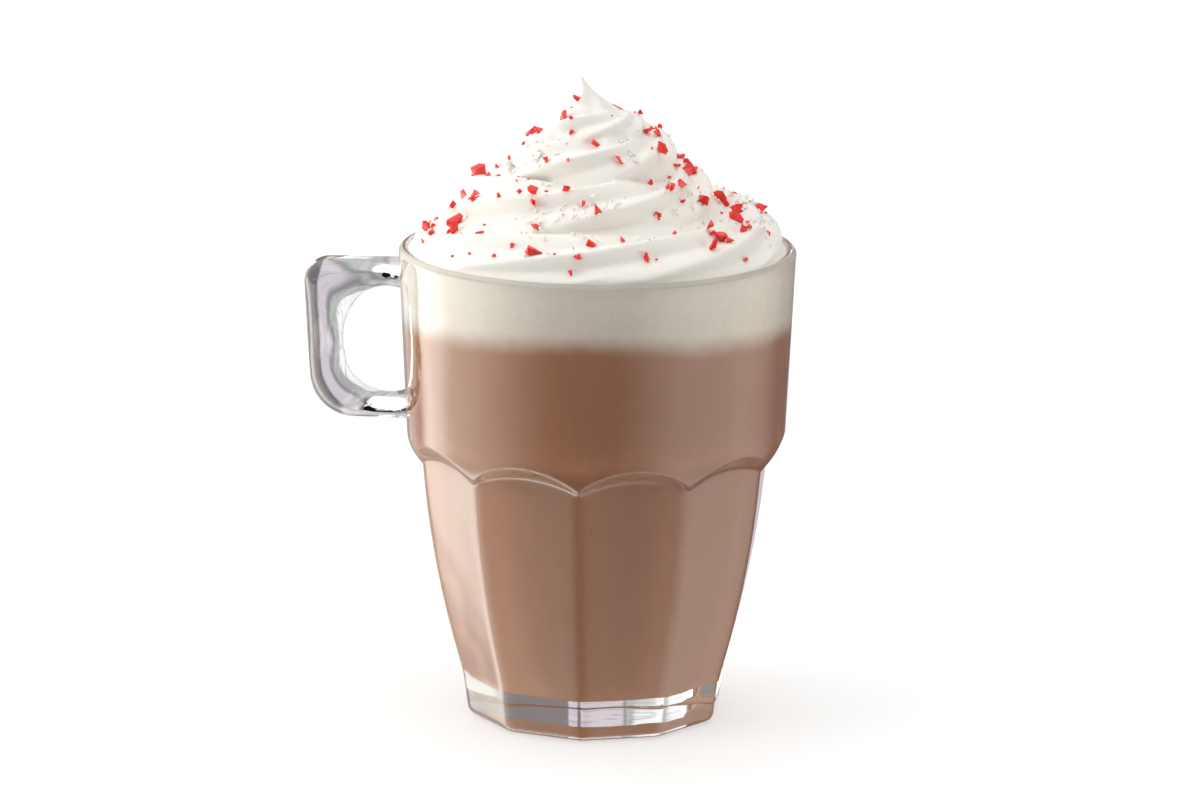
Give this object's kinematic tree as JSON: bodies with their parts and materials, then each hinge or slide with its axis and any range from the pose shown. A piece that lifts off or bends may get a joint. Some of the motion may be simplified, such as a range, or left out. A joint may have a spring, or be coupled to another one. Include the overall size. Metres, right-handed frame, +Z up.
{
  "type": "hot chocolate",
  "caption": "Glass mug of hot chocolate with milk foam and a piped whipped cream swirl sprinkled with crushed red and white candy.",
  "frame": {"origin": "on the axis of the glass, at its flat underside", "axes": "+Z up along the axis of the glass; the handle points along -X; two corners of the ten-sided body lie on the Y axis"},
  "size_m": [0.1094, 0.088, 0.1446],
  "materials": {
    "clear_glass": "clear pressed glass, polished",
    "chocolate_drink": "smooth milky drink behind glass",
    "milk_foam": "soft matte foam",
    "whipped_cream": "soft satin cream",
    "red_candy": "crushed boiled candy, slightly translucent",
    "white_candy": "crushed boiled candy, sugary"
  },
  "bodies": {
    "root": {"glass_mug": "clear_glass", "hot_chocolate": "chocolate_drink", "milk_foam": "milk_foam", "whipped_cream": "whipped_cream"}
  },
  "joints": []
}
